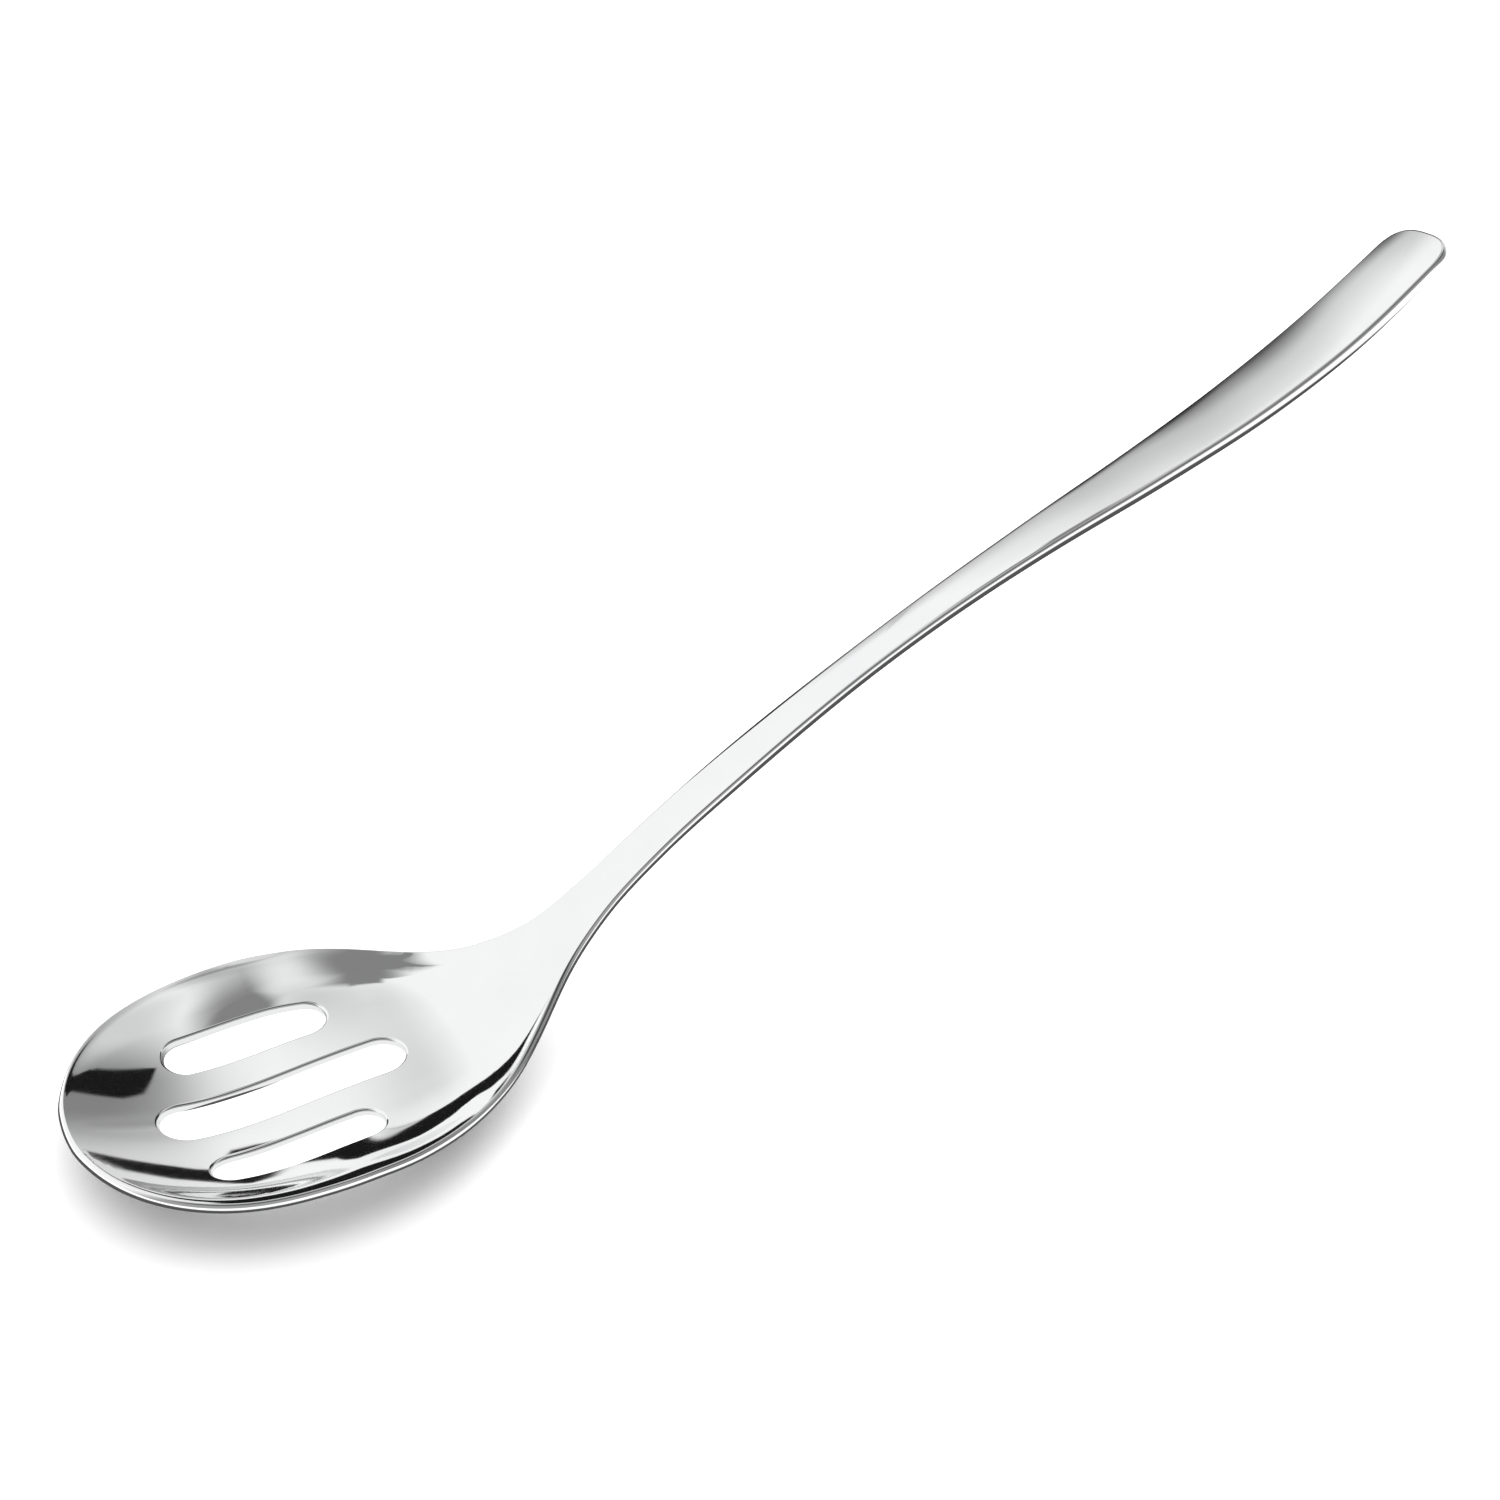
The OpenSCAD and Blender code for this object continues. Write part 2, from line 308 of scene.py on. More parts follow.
def under_points(plan):
    """Points of the underside and their normals. Near the slots they lie straight below."""
    x = plan[:, 0]
    u = np.abs(plan[:, 1]) / np.maximum(half_at(x), TINY)
    plumb = ease((x - PLUMB_START) / PLUMB_START_FADE)
    plumb *= ease((PLUMB_END - x) / PLUMB_END_FADE)
    plumb *= ease((PLUMB_SIDE_SHARE - u) / PLUMB_SIDE_FADE_SHARE)
    thick = np.interp(x, STATIONS, THICKNESS_CURVE)[:, None]
    shift = np.zeros_like(plan)
    for _ in range(UNDERSIDE_PASSES):
        shift = thick * top_normals(plan + shift)[:, :2]
    moved = plan + plumb[:, None] * shift
    normals = top_normals(moved)
    return top_points(moved) - thick * normals, -normals


def unit(v):
    return v / np.linalg.norm(v, axis=-1, keepdims=True)


def turned(a, b, t):
    """Directions on the way from a to b, at the share t of the turn between them."""
    angle = np.arccos(np.clip((a * b).sum(1), -1, 1))[:, None]
    return unit(np.sin((1 - t) * angle) * a + np.sin(t * angle) * b)


def right_normals(loop):
    """Unit normals in plan that point to the right of the loop's direction."""
    along = unit(np.roll(loop, -1, axis=0) - np.roll(loop, 1, axis=0))
    return np.column_stack([along[:, 1], -along[:, 0]])


def outline_loop():
    """The upper edge seen from above, from the tip along -Y to the handle's end and back."""
    turn = np.radians(np.linspace(0, 90, NOSE_POINTS, endpoint=False))
    nose_x = WIDEST_AT * (1 - np.cos(turn))
    side_x = np.arange(WIDEST_AT, SPOON_LENGTH - END_ROUND, SIDE_STEP)
    turn = np.radians(np.linspace(0, 90, END_POINTS))
    end_x = SPOON_LENGTH - END_ROUND + END_ROUND * np.sin(turn) ** (2 / END_POWER)
    x = np.concatenate([nose_x, side_x, end_x])
    y = half_at(x)
    y[0] = 0
    y[-1] = 0
    side = np.column_stack([x, -y])
    back = np.column_stack([x[1:-1], y[1:-1]])[::-1]
    return np.concatenate([side, back])


def arc(centre, radius, start, end, count):
    turn = np.radians(np.linspace(start, end, count, endpoint=False))
    return np.column_stack([centre[0] + radius * np.cos(turn), centre[1] + radius * np.sin(turn)])


def straight(start, end, count):
    share = np.linspace(0, 1, count, endpoint=False)[:, None]
    return np.array(start) + share * (np.array(end) - np.array(start))


def middle_slot_loop():
    first = SLOT_START + SLOT_RADIUS
    last = SLOT_END - SLOT_RADIUS
    return np.concatenate([
        straight((first, -SLOT_RADIUS), (last, -SLOT_RADIUS), SLOT_POINTS),
        arc((last, 0), SLOT_RADIUS, -90, 90, ARC_POINTS),
        straight((last, SLOT_RADIUS), (first, SLOT_RADIUS), SLOT_POINTS),
        arc((first, 0), SLOT_RADIUS, 90, 270, ARC_POINTS),
    ])


def side_slot_loop():
    """Straight inner edge, round ends and an outer edge that bows outwards."""
    first = SIDE_START + SIDE_RADIUS
    last = SIDE_END - SIDE_RADIUS
    middle = (first + last) / 2
    peak = SIDE_OFFSET + SIDE_BOW
    reach = last - middle
    bow_y = (peak**2 - SIDE_OFFSET**2 - reach**2) / (2 * SIDE_BOW)
    meet = math.degrees(math.atan2(SIDE_OFFSET - bow_y, reach))
    inner = SIDE_OFFSET - SIDE_RADIUS
    return np.concatenate([
        straight((first, inner), (last, inner), SLOT_POINTS),
        arc((last, SIDE_OFFSET), SIDE_RADIUS, -90, meet, ARC_POINTS),
        arc((middle, bow_y), peak + SIDE_RADIUS - bow_y, meet, 180 - meet, SLOT_POINTS),
        arc((first, SIDE_OFFSET), SIDE_RADIUS, 180 - meet, 270, ARC_POINTS),
    ])


def on_metal(loops, points):
    """Whether each point in plan is on metal: inside the outline and outside the slots."""
    odd = np.zeros(len(points), bool)
    for loop in loops:
        for a, b in zip(loop, np.roll(loop, -1, axis=0)):
            if a[1] == b[1]:
                continue
            between = (a[1] > points[:, 1]) != (b[1] > points[:, 1])
            x = a[0] + (points[:, 1] - a[1]) / (b[1] - a[1]) * (b[0] - a[0])
            odd ^= between & (points[:, 0] < x)
    return odd


def inner_points(loops, rings):
    """A staggered grid of points that stays clear of the loops and of the rings inside the rim."""
    rows = int(HALF_WIDTH / (GRID * GRID_ROW_SHARE)) + 1
    found = []
    for row in range(-rows, rows + 1):
        start = GRID / 2 if row % 2 else GRID
        xs = np.arange(start, SPOON_LENGTH, GRID)
        found.append(np.column_stack([xs, np.full(len(xs), row * GRID * GRID_ROW_SHARE)]))
    points = np.concatenate(found)
    points = points[on_metal(loops, points)]
    walls = np.concatenate(loops + rings)
    keep = np.ones(len(points), bool)
    for start in range(0, len(points), GRID_BATCH):
        batch = slice(start, start + GRID_BATCH)
        gaps = np.linalg.norm(points[batch, None] - walls[None], axis=2).min(axis=1)
        keep[batch] = gaps > GRID_CLEARANCE_SHARE * GRID
    return points[keep]


def edge_radius(x):
    """Radius of the rounded edge: slight round the bowl, fuller along the handle."""
    return mix(RIM_RADIUS, HANDLE_RADIUS, ease((x - FULLER_FROM) / FULLER_FADE))


def rounded_wall(plan, away, radius, under_radius, crown, is_slot):
    """Rings of points and normals from the upper face over the edge to the underside.

    A slot's wall is upright, as the cutter leaves it, and the outer wall is square to the sheet.
    """
    top = top_points(plan)
    up = top_normals(plan)
    low, down = under_points(plan)
    flat = np.column_stack([away, np.zeros(len(away))])
    if is_slot:
        side_up = flat
        side_down = flat
    else:
        side_up = unit(flat - (flat * up).sum(1)[:, None] * up)
        side_down = unit(flat - (flat * down).sum(1)[:, None] * down)
    height = np.linalg.norm(top - low, axis=1)[:, None] - radius - under_radius
    lean = 4 * crown / height
    side_up = unit(side_up + lean * up)
    side_down = unit(side_down + lean * down)
    rings = []
    for k in range(1, ROUND_STEPS + 1):
        n = turned(up, side_up, k / ROUND_STEPS)
        rings.append((top + radius * (n - up), n))
    start = rings[-1][0]
    end = low + under_radius * (side_down - down)
    outwards = unit(side_up + side_down)
    for k in range(1, WALL_STEPS):
        t = k / WALL_STEPS
        n = unit(mix(side_up, side_down, t))
        rings.append((mix(start, end, t) + 4 * crown * t * (1 - t) * outwards, n))
    for k in range(ROUND_STEPS):
        n = turned(down, side_down, 1 - k / ROUND_STEPS)
        rings.append((low + under_radius * (n - down), n))
    return rings


def strip(above, below, is_slot):
    """Faces between two rings, turned so that they look out of the metal."""
    n = len(above)
    quads = [(above[i], below[i], below[(i + 1) % n], above[(i + 1) % n]) for i in range(n)]
    return [q[::-1] for q in quads] if is_slot else quads


def edge_loops():
    """The edges of the upper face, rim first and then the slots, and the directions away from the metal.

    They lie so far inside the outline that the rounded and crowned wall ends as far out as in the part.
    """
    rim = outline_loop()
    rim_away = right_normals(rim)
    lean = 4 * WALL_CROWN / (SHEET - 2 * RIM_RADIUS)
    reach = edge_radius(rim[:, 0])[:, None] / math.hypot(1, lean) + WALL_CROWN
    loops = [rim - (reach - EDGE_ROUND) * rim_away]
    aways = [rim_away]
    side = side_slot_loop()
    mirrored = side[::-1] * (1, -1)
    for slot in (middle_slot_loop(), side, mirrored):
        into_metal = right_normals(slot)
        loops.append(slot + LIP_RADIUS * into_metal)
        aways.append(-into_metal)
    return loops, aways


def upper_face(loops, aways):
    """Points and triangles of the upper face in plan, and where each point of the loops has gone."""
    coords = [Vector(p) for loop in loops for p in loop]
    edges = []
    for loop in loops:
        first = len(edges)
        edges += [(first + k, first + (k + 1) % len(loop)) for k in range(len(loop))]
    rings = [loops[0] - inset * aways[0] for inset in RING_INSETS]
    coords += [Vector(p) for ring in rings for p in ring]
    coords += [Vector(p) for p in inner_points(loops, rings)]
    made = delaunay_2d_cdt(coords, edges, [], 0, MERGE_UNDER)
    plan = np.array([list(v) for v in made[0]])
    faces = np.array([list(f) for f in made[2]])
    kept = faces[on_metal(loops, plan[faces].mean(axis=1))]
    a, b, c = plan[kept[:, 0]], plan[kept[:, 1]], plan[kept[:, 2]]
    clockwise = np.cross(b - a, c - a) < 0
    kept[clockwise] = kept[clockwise][:, ::-1]
    place = {old: new for new, olds in enumerate(made[3]) for old in olds}
    return plan, kept, place


def spoon_mesh():
    """The whole blank as one closed mesh, in millimetres."""
    rim_radius = edge_radius(outline_loop()[:, 0])[:, None]
    under_radius = np.maximum(rim_radius, UNDER_RADIUS)
    loops, aways = edge_loops()
    plan, kept, place = upper_face(loops, aways)
    low, down = under_points(plan)
    points = [top_points(plan), low]
    normals = [top_normals(plan), down]
    count = len(plan)
    polygons = kept.tolist() + (kept[:, ::-1] + count).tolist()
    total = 2 * count
    first = 0
    for k, loop in enumerate(loops):
        above = [place[first + i] for i in range(len(loop))]
        last = [i + count for i in above]
        first += len(loop)
        is_slot = k > 0
        if is_slot:
            rings = rounded_wall(plan[above], aways[k], LIP_RADIUS, LIP_RADIUS, 0, is_slot)
        else:
            rings = rounded_wall(plan[above], aways[k], rim_radius, under_radius, WALL_CROWN, is_slot)
        for p, n in rings:
            points.append(p)
            normals.append(n)
            below = list(range(total, total + len(loop)))
            polygons += strip(above, below, is_slot)
            total += len(loop)
            above = below
        polygons += strip(above, last, is_slot)
    return np.concatenate(points), np.concatenate(normals), polygons


def make_spoon(material):
    """The spoon, placed so that its highest point and its middle meet those of the CAD node."""
    points, normals, polygons = spoon_mesh()
    low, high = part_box("spoon")
    centre = (low + high) / 2
    middle_x = (points[:, 0].min() + points[:, 0].max()) / 2
    points = (points - (middle_x, 0, points[:, 2].max())) * MM + (centre.x, centre.y, high.z)
    mesh = bpy.data.meshes.new("polished_spoon")
    mesh.from_pydata(points.tolist(), [], polygons)
    mesh.polygons.foreach_set("use_smooth", [True] * len(mesh.polygons))
    mesh.normals_split_custom_set_from_vertices(normals.tolist())
    mesh.materials.append(material)
    return linked("polished_spoon", mesh)


def linked(name, data):
    """A new object in the scene."""
    made = bpy.data.objects.new(name, data)
    bpy.context.scene.collection.objects.link(made)
    return made


def new_material(name):
    material = bpy.data.materials.new(name)
    material.use_nodes = True
    return material, material.node_tree, material.node_tree.nodes["Principled BSDF"]


def ranged(tree, source, span, values, interpolation="SMOOTHSTEP"):
    """A change from the first value to the second while the source goes over the span."""
    node = tree.nodes.new("ShaderNodeMapRange")
    node.interpolation_type = interpolation
    node.inputs["From Min"].default_value = span[0]
    node.inputs["From Max"].default_value = span[1]
    node.inputs["To Min"].default_value = values[0]
    node.inputs["To Max"].default_value = values[1]
    tree.links.new(source, node.inputs["Value"])
    return node.outputs["Result"]


def computed(tree, operation, *terms):
    """The result of a math node over sockets and plain numbers."""
    node = tree.nodes.new("ShaderNodeMath")
    node.operation = operation
    for socket, term in zip(node.inputs, terms):
        if isinstance(term, float):
            socket.default_value = term
        else:
            tree.links.new(term, socket)
    return node.outputs["Value"]


def mixed(tree, share, first, second):
    """The first shader, and the second one by its share."""
    node = tree.nodes.new("ShaderNodeMixShader")
    tree.links.new(share, node.inputs["Fac"])
    tree.links.new(first, node.inputs[1])
    tree.links.new(second, node.inputs[2])
    return node.outputs["Shader"]


def noise(tree, place, scale, detail):
    node = tree.nodes.new("ShaderNodeTexNoise")
    node.inputs["Scale"].default_value = scale
    node.inputs["Detail"].default_value = detail
    tree.links.new(place, node.inputs["Vector"])
    return node.outputs["Fac"]


def steel_material():
    """Mirror-polished stainless steel with a faint polishing haze and hairlines along the spoon."""
    material, tree, surface = new_material("polished_steel")
    surface.inputs["Metallic"].default_value = 1.0
    place = tree.nodes.new("ShaderNodeTexCoord").outputs["Object"]
    haze = noise(tree, place, 90.0, 3.0)
    along = tree.nodes.new("ShaderNodeMapping")
    along.inputs["Scale"].default_value = (60.0, 2600.0, 2600.0)
    tree.links.new(place, along.inputs["Vector"])
    hairs = noise(tree, along.outputs["Vector"], 1.0, 2.0)

    tint = tree.nodes.new("ShaderNodeValToRGB")
    tint.color_ramp.elements[0].position = 0.3
    tint.color_ramp.elements[0].color = (0.86, 0.865, 0.87, 1)
    tint.color_ramp.elements[1].position = 0.7
    tint.color_ramp.elements[1].color = (0.89, 0.893, 0.895, 1)
    tree.links.new(haze, tint.inputs["Fac"])
    tree.links.new(tint.outputs["Color"], surface.inputs["Base Color"])

    gloss = ranged(tree, computed(tree, "ADD", haze, hairs), (0.6, 1.4), (0.03, 0.07), "LINEAR")
    tree.links.new(gloss, surface.inputs["Roughness"])

    scratch = tree.nodes.new("ShaderNodeBump")
    scratch.inputs["Strength"].default_value = 0.02
    scratch.inputs["Distance"].default_value = 0.00002
    tree.links.new(hairs, scratch.inputs["Height"])
    tree.links.new(scratch.outputs["Normal"], surface.inputs["Normal"])
    return material


# Floor, in metres. To the camera it shows painted light: white inside the glow's edge, a share of its reach,
# under the slots over the bowl's shadow, and whiter than it is lit beyond the shadow's edge. Reflections see
# it with a light of its own.
FLOOR_RADIUS = 6.0
FLOOR_CORNERS = 64
FLOOR_WHITE = 0.93
FLOOR_MIRRORED = 0.35
GLOW_CENTRE = (-0.0863, 0.005)
GLOW_REACH = (0.022, 0.021)
GLOW_EDGE = (0.95, 1.12)
SHADOW_CENTRE = (-0.088, -0.006)
SHADOW_EDGE = (0.02, 0.045)
SHADOW_FADED = 0.5

# Dome: spans of the X, Y and Z parts of a direction, each with the brightness or share at both ends
SKY_RIGHT = ((0.1, 0.5), (1.03, 0.72))
SKY_NEAR = ((-0.3, 0.2), (1.0, 0.0))
SKY_BAND_RISE = ((0.5, 0.8), (0.62, 0.94))
SKY_BAND_FALL = ((0.85, 1.0), (1.0, 0.75))
SKY_VEIL_FROM = ((0.3, 0.6), (0.0, 1.0))
SKY_VEIL_TO = ((0.72, 0.9), (1.0, 0.0))
SKY_VEIL_RIGHT = ((0.0, 0.5), (0.0, 0.65))
SKY_LIGHT = ((-0.5, 0.5), (0.83, 1.28))

LAMP_PLACE = (-0.3, 0.6, 1.3)
LAMP_AIM = (-0.06, 0, 0)
LAMP_SIZE = 1.0
LAMP_WATTS = 1.0

CAMERA_PLACE = (-0.13495, -0.23586, 0.19236)
CAMERA_RIGHT = (0.8821, -0.4711, 0.0)
CAMERA_BACK = (-0.4087, -0.7654, 0.4972)
CAMERA_LENS = 48.0
CAMERA_SENSOR = 36.0
CAMERA_NEAR = 0.01

# Cards in the sky: azimuths and elevations in degrees, seen from the bowl, with azimuth 0 along +X
BOWL_PLACE = Vector((-0.08, 0.0, 0.005))
FLAG_DISTANCE = 2.0
FLAG_BLACK = 0.01
# The dark curtain whose reflection runs along the near wall and ends in the bowl's throat
CURTAIN = [(62.5, 14.8), (65, 14), (68, 13.5), (72, 13), (75.5, 13.5), (76.3, 19), (78, 24), (82, 25.5)]
CURTAIN += [(88, 25.5), (94, 25), (99, 21.5), (103, 15.5), (106, 8), (108, 1.5), (101, 1), (95, 3)]
CURTAIN += [(89, 6.5), (85.5, 13), (82.5, 12.5), (81, 8), (79, 5), (75, 6), (71, 6.5), (67, 9), (64, 12.3)]
CURTAIN_FADE = 1.0
# The black flag whose reflection is the dark patch at the tip
TIP_FLAG = [(41, 32), (44, 38), (49, 45), (54, 49), (56.5, 38), (55, 34), (50, 31), (49, 24), (47, 24)]
TIP_FLAG_FADE = 1.5

# The grey cloud over the bowl, in the X and Y parts of its directions, and the widths of its edges
CLOUD_DISTANCE = 3.0
CLOUD = [(0.15, 0.53), (0.085, 0.53), (0.05, 0.47), (-0.1, 0.37), (-0.32, 0.28)]
CLOUD += [(-0.32, 0.1), (0.02, 0.05), (0.13, 0.1), (0.17, 0.3), (0.19, 0.47)]
CLOUD_FADES = [0.06, 0.03, 0.03, 0.25, 0.45, 0.45, 0.16, 0.2, 0.2, 0.12]
CLOUD_GREY = 0.25

# Upright cards behind the handle, in metres along X and Z: a black flag, and a grey veil behind it
BEHIND_HANDLE = 0.1
VEIL_BEHIND_HANDLE = 0.102
HANDLE_FLAG = [(-0.045, 0.042), (-0.015, 0.02), (0, 0), (0.25, 0), (0.25, 0.225), (0.125, 0.2)]
HANDLE_FLAG += [(0.112, 0.184), (0.102, 0.157), (0.09, 0.137), (0.067, 0.113), (0.023, 0.087)]
HANDLE_FLAG += [(-0.015, 0.066), (-0.045, 0.052)]
HANDLE_FLAG_FADE = 0.018
HANDLE_VEIL = [(0.01, 0.02), (0.25, 0.02), (0.25, 0.25), (0.125, 0.228), (0.11, 0.212), (0.1, 0.185)]
HANDLE_VEIL += [(0.088, 0.164), (0.065, 0.14), (0.02, 0.112), (0.01, 0.107)]
HANDLE_VEIL_GREY = 0.55
HANDLE_VEIL_FADE = 0.05

# Painted shadow: a grey card on the floor under the spoon, seen only in reflections, darkens the floor where
# the spoon shades it. It reaches past the spoon's outline by these shares of the height over the floor
PAINTED_SHADOW_REACH_SHARE = 1.3
PAINTED_SHADOW_AHEAD_SHARE = 0.3
PAINTED_SHADOW_TIP_SHARE = 1.2
PAINTED_SHADOW_FADE_SHARE = 0.7
PAINTED_SHADOW_EVERY = 6
PAINTED_SHADOW_GREY = 0.1
PAINTED_SHADOW_HEIGHT = 0.0005

# Painted light: a glowing white card just over the painted shadow card, under the bowl where the floor lies
# in its shade. Only reflections see it, and the slots' walls mirror it
SLOT_CARD_CENTRE = (-0.0863, -0.002)
SLOT_CARD_RADIUS = 0.022
SLOT_CARD_STEP = 10
SLOT_GLOW_BRIGHTNESS = 0.95
SLOT_CARD_FADE = 0.004
SLOT_CARD_HEIGHT = 0.001


def make_floor():
    """A white floor that takes the spoon's shadow, with painted light for the camera: a glow under the slots
    over the bowl's shadow, and a lift that fades the shadow out round it.
    """
    mesh = bpy.data.meshes.new("studio_floor")
    turns = [2 * math.pi * k / FLOOR_CORNERS for k in range(FLOOR_CORNERS)]
    corners = [(FLOOR_RADIUS * math.cos(t), FLOOR_RADIUS * math.sin(t), 0) for t in turns]
    mesh.from_pydata(corners, [], [list(range(FLOOR_CORNERS))])
    material, tree, surface = new_material("white_sweep")
    surface.inputs["Base Color"].default_value = (FLOOR_WHITE, FLOOR_WHITE, FLOOR_WHITE, 1)
    surface.inputs["Roughness"].default_value = 0.3
    surface.inputs["Specular IOR Level"].default_value = 0.1
    surface.inputs["Emission Color"].default_value = (1, 1, 1, 1)

    place = tree.nodes.new("ShaderNodeTexCoord").outputs["Object"]
    glow = ranged(tree, distance_to(tree, place, GLOW_CENTRE, GLOW_REACH), GLOW_EDGE, (1.0, 0.0))
    shadow_lift = ranged(tree, distance_to(tree, place, SHADOW_CENTRE, (1, 1)), SHADOW_EDGE, (0.0, SHADOW_FADED))
    path = tree.nodes.new("ShaderNodeLightPath")
    # Painted light: the camera sees the floor glow under the slots and the shadow lifted round the bowl
    seen = computed(tree, "MULTIPLY", computed(tree, "MAXIMUM", glow, shadow_lift), path.outputs["Is Camera Ray"])
    mirrored = computed(tree, "MULTIPLY", path.outputs["Is Glossy Ray"], FLOOR_MIRRORED)
    tree.links.new(computed(tree, "MAXIMUM", seen, mirrored), surface.inputs["Emission Strength"])
    mesh.materials.append(material)
    linked("studio_floor", mesh)


def distance_to(tree, place, centre, reach):
    """The distance from a centre on the floor, as a share of the reach along X and Y."""
    moved = tree.nodes.new("ShaderNodeMapping")
    moved.inputs["Location"].default_value = (-centre[0] / reach[0], -centre[1] / reach[1], 0)
    moved.inputs["Scale"].default_value = (1 / reach[0], 1 / reach[1], 1)
    tree.links.new(place, moved.inputs["Vector"])
    length = tree.nodes.new("ShaderNodeVectorMath")
    length.operation = "LENGTH"
    tree.links.new(moved.outputs["Vector"], length.inputs[0])
    return length.outputs["Value"]


def make_card(name, corners, brightness, fade, place):
    """A studio card that only shows in reflections. Its edge fades out over the given width or widths."""
    loop = np.array(corners, float)
    count = len(loop)
    fades = np.broadcast_to(np.reshape(fade, (-1, 1)), (count, 1))
    spokes = loop - loop.mean(axis=0)
    if np.cross(spokes, np.roll(spokes, -1, axis=0)).sum() < 0:
        loop = loop[::-1]
        fades = fades[::-1]
    shifts = 0.5 * fades * right_normals(loop)
    points = [place(a, b) for ring in (loop - shifts, loop + shifts) for a, b in ring]
    faces = [list(range(count))]
    for k in range(count):
        after = (k + 1) % count
        faces.append([k, after, count + after, count + k])
    mesh = bpy.data.meshes.new(name)
    mesh.from_pydata([tuple(p) for p in points], [], faces)
    cover = mesh.attributes.new("cover", "FLOAT", "POINT")
    cover.data.foreach_set("value", [1.0] * count + [0.0] * count)
    mesh.materials.append(card_material(name, brightness))
    card = linked(name, mesh)
    card.visible_camera = False
    card.visible_diffuse = False
    card.visible_shadow = False
    card.visible_transmission = False


def card_material(name, brightness):
    """An even glow that is clear where the card's cover has faded out."""
    material, tree, _ = new_material(name)
    tree.nodes.clear()
    glow = tree.nodes.new("ShaderNodeEmission")
    glow.inputs["Color"].default_value = (brightness, brightness, brightness, 1)
    clear = tree.nodes.new("ShaderNodeBsdfTransparent")
    cover = tree.nodes.new("ShaderNodeAttribute")
    cover.attribute_name = "cover"
    share = ranged(tree, cover.outputs["Fac"], (0, 1), (0, 1))
    out = tree.nodes.new("ShaderNodeOutputMaterial")
    surface = mixed(tree, share, clear.outputs["BSDF"], glow.outputs["Emission"])
    tree.links.new(surface, out.inputs["Surface"])
    return material


def in_the_sky(azimuth, elevation):
    a = math.radians(azimuth)
    e = math.radians(elevation)
    direction = Vector((math.cos(e) * math.cos(a), math.cos(e) * math.sin(a), math.sin(e)))
    return BOWL_PLACE + FLAG_DISTANCE * direction


def over_the_bowl(x, y):
    return BOWL_PLACE + CLOUD_DISTANCE * Vector((x, y, math.sqrt(1 - x * x - y * y)))


def upright_at(y):
    return lambda x, z: Vector((x, y, z))


def flat_at(z):
    return lambda x, y: Vector((x, y, z))


def slot_card_outline():
    turns = np.radians(np.arange(0, 360, SLOT_CARD_STEP))
    return np.array(SLOT_CARD_CENTRE) + SLOT_CARD_RADIUS * np.column_stack([np.cos(turns), np.sin(turns)])


def painted_shadow_outline():
    """The outline of the painted shadow card: the spoon's outline on the floor, widened with the spoon's
    height, and the widths of its soft edge.
    """
    loop = outline_loop()
    away = right_normals(loop)[::PAINTED_SHADOW_EVERY]
    loop = loop[::PAINTED_SHADOW_EVERY]
    low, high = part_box("spoon")
    height = high.z + (np.interp(loop[:, 0], STATIONS, EDGE_CURVE) - HANDLE_RISE - END_THICKNESS) * MM
    outline = (low.x, 0) + loop * MM + PAINTED_SHADOW_REACH_SHARE * height[:, None] * away
    at_tip = away[:, 0] < 0
    outline[:, 0] += height * np.where(at_tip, PAINTED_SHADOW_TIP_SHARE * away[:, 0], PAINTED_SHADOW_AHEAD_SHARE)
    return outline, PAINTED_SHADOW_FADE_SHARE * height


def make_cards():
    shadow_outline, shadow_fades = painted_shadow_outline()
    painted_shadow_place = flat_at(PAINTED_SHADOW_HEIGHT)
    slot_card_place = flat_at(SLOT_CARD_HEIGHT)
    make_card("tip_flag", TIP_FLAG, FLAG_BLACK, TIP_FLAG_FADE, in_the_sky)
    make_card("dark_curtain", CURTAIN, FLAG_BLACK, CURTAIN_FADE, in_the_sky)
    make_card("rear_cloud", CLOUD, CLOUD_GREY, CLOUD_FADES, over_the_bowl)
    make_card("handle_veil", HANDLE_VEIL, HANDLE_VEIL_GREY, HANDLE_VEIL_FADE, upright_at(VEIL_BEHIND_HANDLE))
    make_card("handle_flag", HANDLE_FLAG, FLAG_BLACK, HANDLE_FLAG_FADE, upright_at(BEHIND_HANDLE))
    # Painted shadow under the spoon, which only reflections see
    make_card("painted_floor_shadow", shadow_outline, PAINTED_SHADOW_GREY, shadow_fades, painted_shadow_place)
    # Painted light on the floor under the slots, which only reflections see
    make_card("slot_glow", slot_card_outline(), SLOT_GLOW_BRIGHTNESS, SLOT_CARD_FADE, slot_card_place)


def background(tree, colour):
    """The sky in one colour, or in the colours that a socket gives."""
    node = tree.nodes.new("ShaderNodeBackground")
    if isinstance(colour, tuple):
        node.inputs["Color"].default_value = colour
    else:
        tree.links.new(colour, node.inputs["Color"])
    return node.outputs["Background"]


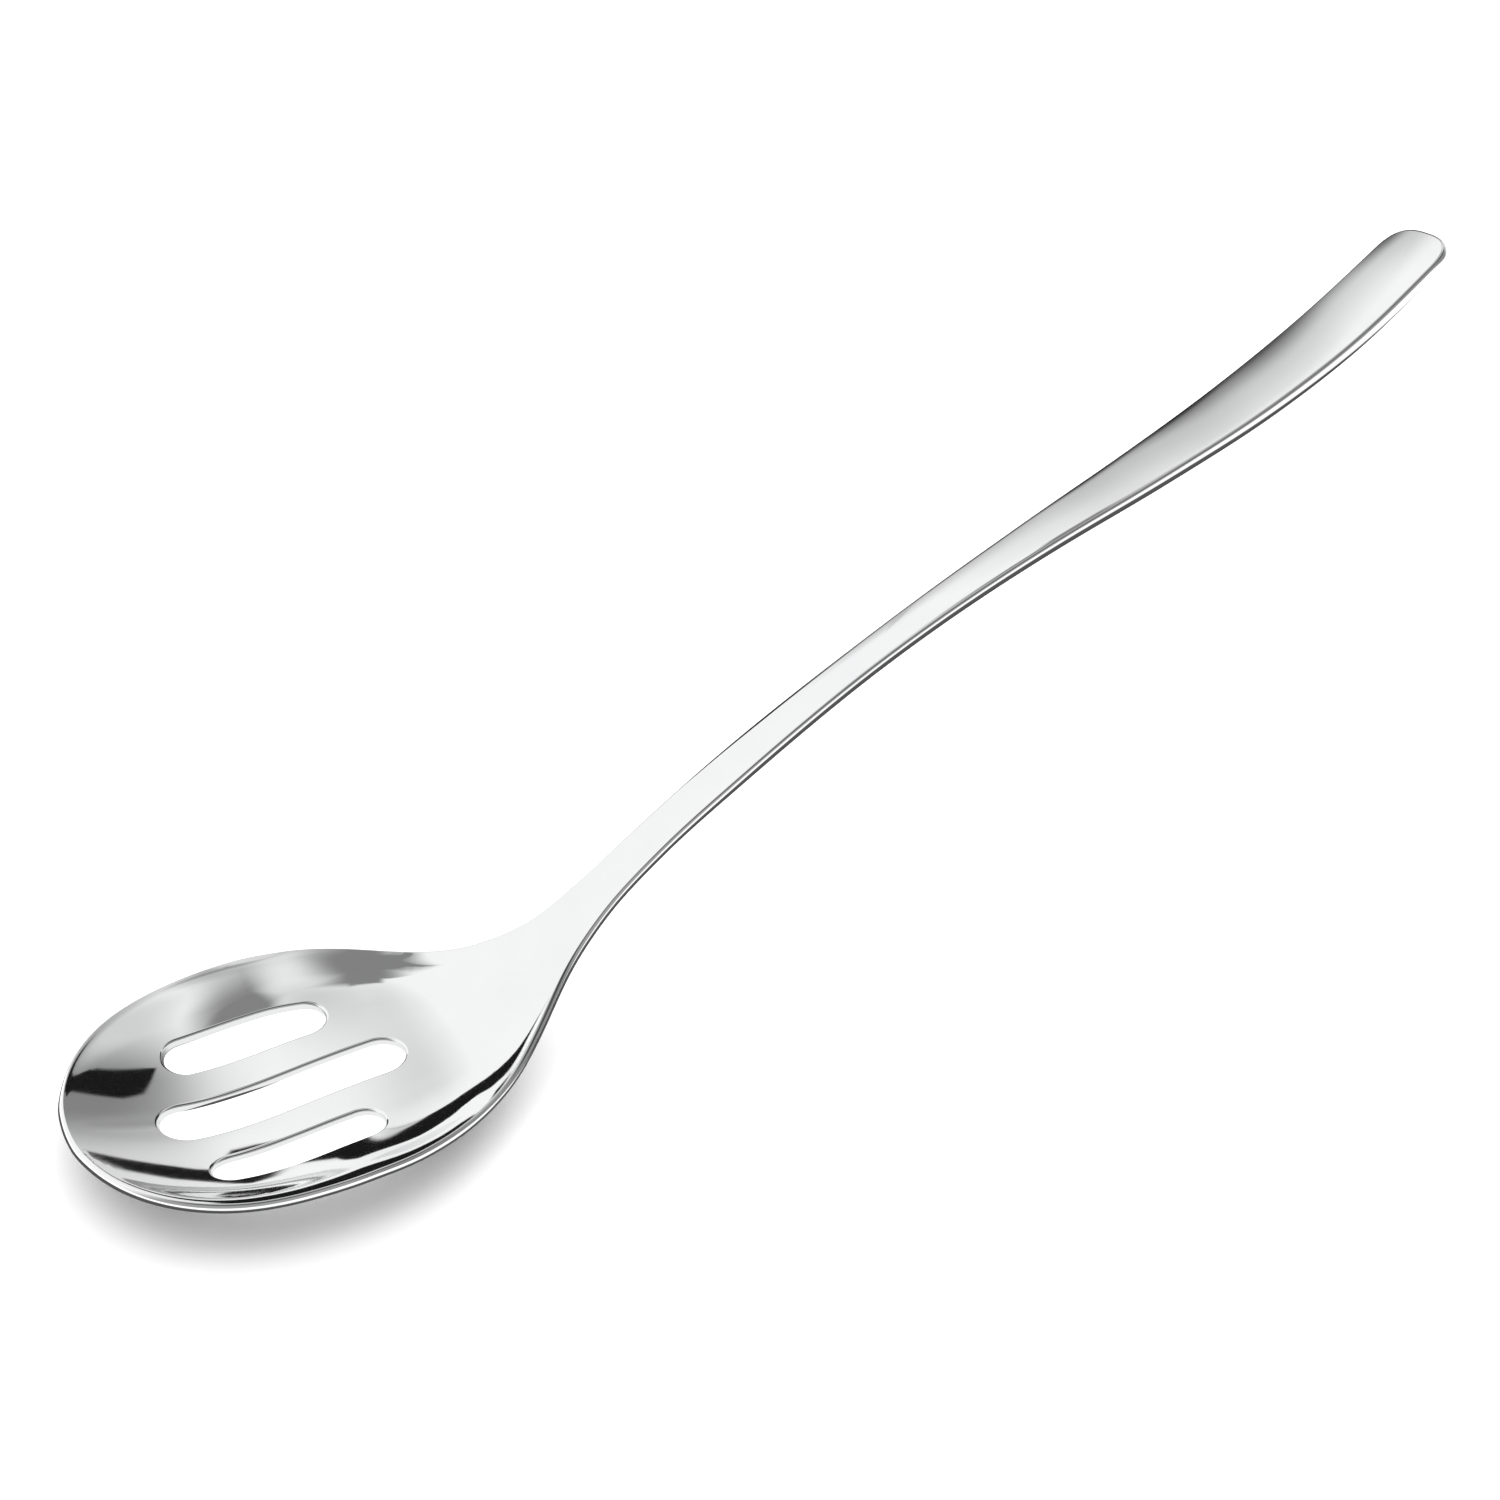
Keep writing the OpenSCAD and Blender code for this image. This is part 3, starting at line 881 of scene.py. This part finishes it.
def make_world():
    """A white dome. In reflections it is greyer over the handle's side and dark behind the camera."""
    world = bpy.data.worlds.new("studio_dome")
    bpy.context.scene.world = world
    world.use_nodes = True
    tree = world.node_tree
    tree.nodes.clear()
    place = tree.nodes.new("ShaderNodeTexCoord")
    parts = tree.nodes.new("ShaderNodeSeparateXYZ")
    tree.links.new(place.outputs["Generated"], parts.inputs["Vector"])
    x, y, z = parts.outputs

    band = computed(tree, "MULTIPLY", ranged(tree, z, *SKY_BAND_RISE), ranged(tree, z, *SKY_BAND_FALL))
    shade = computed(tree, "MULTIPLY", ranged(tree, y, *SKY_NEAR), band)
    veil = computed(tree, "MULTIPLY", ranged(tree, y, *SKY_VEIL_FROM), ranged(tree, y, *SKY_VEIL_TO))
    veil = computed(tree, "MULTIPLY", veil, ranged(tree, x, *SKY_VEIL_RIGHT, "LINEAR"))
    mirrored = ranged(tree, x, *SKY_RIGHT)
    mirrored = computed(tree, "MULTIPLY", mirrored, computed(tree, "SUBTRACT", 1.0, shade))
    mirrored = computed(tree, "MULTIPLY", mirrored, computed(tree, "SUBTRACT", 1.0, veil))

    soft_sky = background(tree, ranged(tree, y, *SKY_LIGHT))
    path = tree.nodes.new("ShaderNodeLightPath").outputs
    sky = mixed(tree, path["Is Glossy Ray"], soft_sky, background(tree, mirrored))
    sky = mixed(tree, path["Is Camera Ray"], sky, background(tree, (1, 1, 1, 1)))
    out = tree.nodes.new("ShaderNodeOutputWorld")
    tree.links.new(sky, out.inputs["Surface"])


def make_lamp():
    """A large soft lamp that casts the spoon's shadow and doesn't show in reflections."""
    light = bpy.data.lights.new("window_lamp", "AREA")
    light.shape = "DISK"
    light.size = LAMP_SIZE
    light.energy = LAMP_WATTS
    lamp = linked("window_lamp", light)
    lamp.location = LAMP_PLACE
    lamp.rotation_euler = (Vector(LAMP_AIM) - Vector(LAMP_PLACE)).to_track_quat("-Z", "Y").to_euler()
    lamp.visible_glossy = False


def make_camera():
    """The photograph's viewpoint: level sideways and looking down at 29.8 degrees."""
    right = Vector(CAMERA_RIGHT)
    back = Vector(CAMERA_BACK)
    turn = Matrix((right, back.cross(right), back)).transposed().to_4x4()
    data = bpy.data.cameras.new("photo_camera")
    data.lens = CAMERA_LENS
    data.sensor_width = CAMERA_SENSOR
    data.sensor_fit = "HORIZONTAL"
    data.clip_start = CAMERA_NEAR
    camera = linked("photo_camera", data)
    camera.matrix_world = Matrix.Translation(CAMERA_PLACE) @ turn
    return camera


make_floor()
make_world()
make_lamp()
make_cards()
bpy.context.scene.camera = make_camera()
bpy.context.scene.view_settings.view_transform = "Standard"

spoon = make_spoon(steel_material())
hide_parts("spoon")
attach(spoon, "root")
